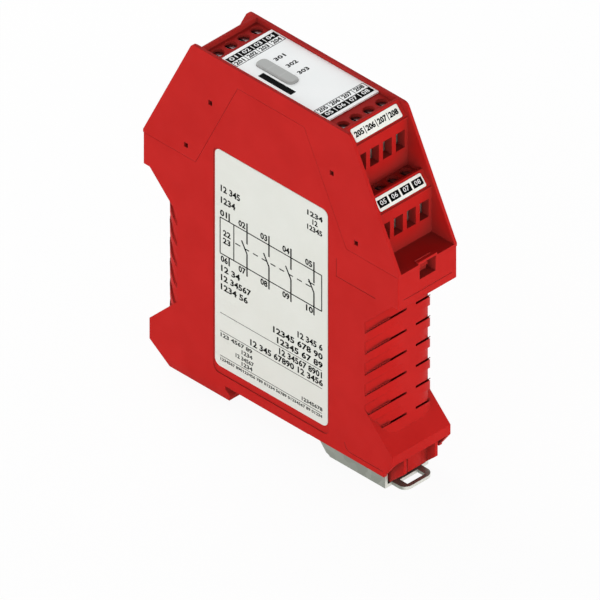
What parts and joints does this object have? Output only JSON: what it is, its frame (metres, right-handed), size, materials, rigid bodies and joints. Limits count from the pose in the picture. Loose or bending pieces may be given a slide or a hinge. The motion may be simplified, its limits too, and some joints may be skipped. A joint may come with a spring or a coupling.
{
  "type": "safety relay",
  "caption": "Slim rail-mount safety relay with louvred bays, stepped screw terminals at both ends and a sprung metal rail latch.",
  "frame": {"origin": "middle of the bounding box at its lowest plane, under the rail latch", "axes": "+Z away from the mounting rail, X across the rail, Y along the rail"},
  "size_m": [0.099, 0.0226, 0.1145],
  "materials": {
    "red_housing": "fine moulded texture",
    "red_cover": "fine moulded texture",
    "white_label": "smooth film",
    "grey_label": "smooth film",
    "marker": "smooth",
    "light_guide": "clear grey",
    "galvanised_sheet": "galvanised",
    "spring_steel": "drawn wire",
    "screw_steel": "zinc plated",
    "cage_steel": "nickel plated",
    "bar_copper": "tinned copper",
    "board": "solder resist",
    "relay_case": "moulded",
    "can": "drawn",
    "choke_core": "ferrite",
    "chip_case": "moulded",
    "lamp": "clear"
  },
  "bodies": {
    "housing": {"main_housing": "red_housing", "front_cover": "red_cover", "front_label": "white_label", "light_guide": "light_guide", "side_label": "grey_label", "latch_spring": "spring_steel", "circuit_board": "board", "relay_1": "relay_case", "relay_2": "relay_case", "buffer_capacitor": "can", "input_choke": "choke_core", "control_chip_1": "chip_case", "control_chip_2": "chip_case", "status_led_1": "lamp", "status_led_2": "lamp", "status_led_3": "lamp", "marker_strip_right_upper": "marker", "contact_bars_right_upper": "bar_copper", "marker_strip_right_lower": "marker", "contact_bars_right_lower": "bar_copper", "marker_strip_left_upper": "marker", "contact_bars_left_upper": "bar_copper", "marker_strip_left_lower": "marker", "contact_bars_left_lower": "bar_copper"},
    "latch": {"rail_latch": "galvanised_sheet"},
    "screw_right_upper_1": {"terminal_screw_right_upper_1": "screw_steel"},
    "cage_right_upper_1": {"clamp_cage_right_upper_1": "cage_steel"},
    "screw_right_upper_2": {"terminal_screw_right_upper_2": "screw_steel"},
    "cage_right_upper_2": {"clamp_cage_right_upper_2": "cage_steel"},
    "screw_right_upper_3": {"terminal_screw_right_upper_3": "screw_steel"},
    "cage_right_upper_3": {"clamp_cage_right_upper_3": "cage_steel"},
    "screw_right_upper_4": {"terminal_screw_right_upper_4": "screw_steel"},
    "cage_right_upper_4": {"clamp_cage_right_upper_4": "cage_steel"},
    "screw_right_lower_1": {"terminal_screw_right_lower_1": "screw_steel"},
    "cage_right_lower_1": {"clamp_cage_right_lower_1": "cage_steel"},
    "screw_right_lower_2": {"terminal_screw_right_lower_2": "screw_steel"},
    "cage_right_lower_2": {"clamp_cage_right_lower_2": "cage_steel"},
    "screw_right_lower_3": {"terminal_screw_right_lower_3": "screw_steel"},
    "cage_right_lower_3": {"clamp_cage_right_lower_3": "cage_steel"},
    "screw_right_lower_4": {"terminal_screw_right_lower_4": "screw_steel"},
    "cage_right_lower_4": {"clamp_cage_right_lower_4": "cage_steel"},
    "screw_left_upper_1": {"terminal_screw_left_upper_1": "screw_steel"},
    "cage_left_upper_1": {"clamp_cage_left_upper_1": "cage_steel"},
    "screw_left_upper_2": {"terminal_screw_left_upper_2": "screw_steel"},
    "cage_left_upper_2": {"clamp_cage_left_upper_2": "cage_steel"},
    "screw_left_upper_3": {"terminal_screw_left_upper_3": "screw_steel"},
    "cage_left_upper_3": {"clamp_cage_left_upper_3": "cage_steel"},
    "screw_left_upper_4": {"terminal_screw_left_upper_4": "screw_steel"},
    "cage_left_upper_4": {"clamp_cage_left_upper_4": "cage_steel"},
    "screw_left_lower_1": {"terminal_screw_left_lower_1": "screw_steel"},
    "cage_left_lower_1": {"clamp_cage_left_lower_1": "cage_steel"},
    "screw_left_lower_2": {"terminal_screw_left_lower_2": "screw_steel"},
    "cage_left_lower_2": {"clamp_cage_left_lower_2": "cage_steel"},
    "screw_left_lower_3": {"terminal_screw_left_lower_3": "screw_steel"},
    "cage_left_lower_3": {"clamp_cage_left_lower_3": "cage_steel"},
    "screw_left_lower_4": {"terminal_screw_left_lower_4": "screw_steel"},
    "cage_left_lower_4": {"clamp_cage_left_lower_4": "cage_steel"}
  },
  "joints": [
    {"name": "latch_slide", "type": "slide", "parent": "housing", "child": "latch", "axis": [1, 0, 0], "range_m": [0, 0.0035], "stiffness_N_per_m": 800, "springref_m": -0.002, "deforming": ["latch_spring"]},
    {"name": "screw_turn_right_upper_1", "type": "hinge", "parent": "housing", "child": "screw_right_upper_1", "pos_m": [0.02426, -0.0075, 0.11097], "axis": [0, 0, -1], "range_deg": [0, 1440]},
    {"name": "cage_rise_right_upper_1", "type": "slide", "parent": "housing", "child": "cage_right_upper_1", "axis": [0, 0, 1], "range_m": [0, 0.002]},
    {"name": "screw_turn_right_upper_2", "type": "hinge", "parent": "housing", "child": "screw_right_upper_2", "pos_m": [0.02426, -0.0025, 0.11097], "axis": [0, 0, -1], "range_deg": [0, 1440]},
    {"name": "cage_rise_right_upper_2", "type": "slide", "parent": "housing", "child": "cage_right_upper_2", "axis": [0, 0, 1], "range_m": [0, 0.002]},
    {"name": "screw_turn_right_upper_3", "type": "hinge", "parent": "housing", "child": "screw_right_upper_3", "pos_m": [0.02426, 0.0025, 0.11097], "axis": [0, 0, -1], "range_deg": [0, 1440]},
    {"name": "cage_rise_right_upper_3", "type": "slide", "parent": "housing", "child": "cage_right_upper_3", "axis": [0, 0, 1], "range_m": [0, 0.002]},
    {"name": "screw_turn_right_upper_4", "type": "hinge", "parent": "housing", "child": "screw_right_upper_4", "pos_m": [0.02426, 0.0075, 0.11097], "axis": [0, 0, -1], "range_deg": [0, 1440]},
    {"name": "cage_rise_right_upper_4", "type": "slide", "parent": "housing", "child": "cage_right_upper_4", "axis": [0, 0, 1], "range_m": [0, 0.002]},
    {"name": "screw_turn_right_lower_1", "type": "hinge", "parent": "housing", "child": "screw_right_lower_1", "pos_m": [0.03351, -0.0075, 0.09237], "axis": [0, 0, -1], "range_deg": [0, 1440]},
    {"name": "cage_rise_right_lower_1", "type": "slide", "parent": "housing", "child": "cage_right_lower_1", "axis": [0, 0, 1], "range_m": [0, 0.002]},
    {"name": "screw_turn_right_lower_2", "type": "hinge", "parent": "housing", "child": "screw_right_lower_2", "pos_m": [0.03351, -0.0025, 0.09237], "axis": [0, 0, -1], "range_deg": [0, 1440]},
    {"name": "cage_rise_right_lower_2", "type": "slide", "parent": "housing", "child": "cage_right_lower_2", "axis": [0, 0, 1], "range_m": [0, 0.002]},
    {"name": "screw_turn_right_lower_3", "type": "hinge", "parent": "housing", "child": "screw_right_lower_3", "pos_m": [0.03351, 0.0025, 0.09237], "axis": [0, 0, -1], "range_deg": [0, 1440]},
    {"name": "cage_rise_right_lower_3", "type": "slide", "parent": "housing", "child": "cage_right_lower_3", "axis": [0, 0, 1], "range_m": [0, 0.002]},
    {"name": "screw_turn_right_lower_4", "type": "hinge", "parent": "housing", "child": "screw_right_lower_4", "pos_m": [0.03351, 0.0075, 0.09237], "axis": [0, 0, -1], "range_deg": [0, 1440]},
    {"name": "cage_rise_right_lower_4", "type": "slide", "parent": "housing", "child": "cage_right_lower_4", "axis": [0, 0, 1], "range_m": [0, 0.002]},
    {"name": "screw_turn_left_upper_1", "type": "hinge", "parent": "housing", "child": "screw_left_upper_1", "pos_m": [-0.02426, -0.0075, 0.11097], "axis": [0, 0, -1], "range_deg": [0, 1440]},
    {"name": "cage_rise_left_upper_1", "type": "slide", "parent": "housing", "child": "cage_left_upper_1", "axis": [0, 0, 1], "range_m": [0, 0.002]},
    {"name": "screw_turn_left_upper_2", "type": "hinge", "parent": "housing", "child": "screw_left_upper_2", "pos_m": [-0.02426, -0.0025, 0.11097], "axis": [0, 0, -1], "range_deg": [0, 1440]},
    {"name": "cage_rise_left_upper_2", "type": "slide", "parent": "housing", "child": "cage_left_upper_2", "axis": [0, 0, 1], "range_m": [0, 0.002]},
    {"name": "screw_turn_left_upper_3", "type": "hinge", "parent": "housing", "child": "screw_left_upper_3", "pos_m": [-0.02426, 0.0025, 0.11097], "axis": [0, 0, -1], "range_deg": [0, 1440]},
    {"name": "cage_rise_left_upper_3", "type": "slide", "parent": "housing", "child": "cage_left_upper_3", "axis": [0, 0, 1], "range_m": [0, 0.002]},
    {"name": "screw_turn_left_upper_4", "type": "hinge", "parent": "housing", "child": "screw_left_upper_4", "pos_m": [-0.02426, 0.0075, 0.11097], "axis": [0, 0, -1], "range_deg": [0, 1440]},
    {"name": "cage_rise_left_upper_4", "type": "slide", "parent": "housing", "child": "cage_left_upper_4", "axis": [0, 0, 1], "range_m": [0, 0.002]},
    {"name": "screw_turn_left_lower_1", "type": "hinge", "parent": "housing", "child": "screw_left_lower_1", "pos_m": [-0.03351, -0.0075, 0.09237], "axis": [0, 0, -1], "range_deg": [0, 1440]},
    {"name": "cage_rise_left_lower_1", "type": "slide", "parent": "housing", "child": "cage_left_lower_1", "axis": [0, 0, 1], "range_m": [0, 0.002]},
    {"name": "screw_turn_left_lower_2", "type": "hinge", "parent": "housing", "child": "screw_left_lower_2", "pos_m": [-0.03351, -0.0025, 0.09237], "axis": [0, 0, -1], "range_deg": [0, 1440]},
    {"name": "cage_rise_left_lower_2", "type": "slide", "parent": "housing", "child": "cage_left_lower_2", "axis": [0, 0, 1], "range_m": [0, 0.002]},
    {"name": "screw_turn_left_lower_3", "type": "hinge", "parent": "housing", "child": "screw_left_lower_3", "pos_m": [-0.03351, 0.0025, 0.09237], "axis": [0, 0, -1], "range_deg": [0, 1440]},
    {"name": "cage_rise_left_lower_3", "type": "slide", "parent": "housing", "child": "cage_left_lower_3", "axis": [0, 0, 1], "range_m": [0, 0.002]},
    {"name": "screw_turn_left_lower_4", "type": "hinge", "parent": "housing", "child": "screw_left_lower_4", "pos_m": [-0.03351, 0.0075, 0.09237], "axis": [0, 0, -1], "range_deg": [0, 1440]},
    {"name": "cage_rise_left_lower_4", "type": "slide", "parent": "housing", "child": "cage_left_lower_4", "axis": [0, 0, 1], "range_m": [0, 0.002]}
  ],
  "couplings": [
    {"joint": "screw_turn_right_upper_1", "follows": "cage_rise_right_upper_1", "rad_per_m": 12566},
    {"joint": "screw_turn_right_upper_2", "follows": "cage_rise_right_upper_2", "rad_per_m": 12566},
    {"joint": "screw_turn_right_upper_3", "follows": "cage_rise_right_upper_3", "rad_per_m": 12566},
    {"joint": "screw_turn_right_upper_4", "follows": "cage_rise_right_upper_4", "rad_per_m": 12566},
    {"joint": "screw_turn_right_lower_1", "follows": "cage_rise_right_lower_1", "rad_per_m": 12566},
    {"joint": "screw_turn_right_lower_2", "follows": "cage_rise_right_lower_2", "rad_per_m": 12566},
    {"joint": "screw_turn_right_lower_3", "follows": "cage_rise_right_lower_3", "rad_per_m": 12566},
    {"joint": "screw_turn_right_lower_4", "follows": "cage_rise_right_lower_4", "rad_per_m": 12566},
    {"joint": "screw_turn_left_upper_1", "follows": "cage_rise_left_upper_1", "rad_per_m": 12566},
    {"joint": "screw_turn_left_upper_2", "follows": "cage_rise_left_upper_2", "rad_per_m": 12566},
    {"joint": "screw_turn_left_upper_3", "follows": "cage_rise_left_upper_3", "rad_per_m": 12566},
    {"joint": "screw_turn_left_upper_4", "follows": "cage_rise_left_upper_4", "rad_per_m": 12566},
    {"joint": "screw_turn_left_lower_1", "follows": "cage_rise_left_lower_1", "rad_per_m": 12566},
    {"joint": "screw_turn_left_lower_2", "follows": "cage_rise_left_lower_2", "rad_per_m": 12566},
    {"joint": "screw_turn_left_lower_3", "follows": "cage_rise_left_lower_3", "rad_per_m": 12566},
    {"joint": "screw_turn_left_lower_4", "follows": "cage_rise_left_lower_4", "rad_per_m": 12566}
  ]
}
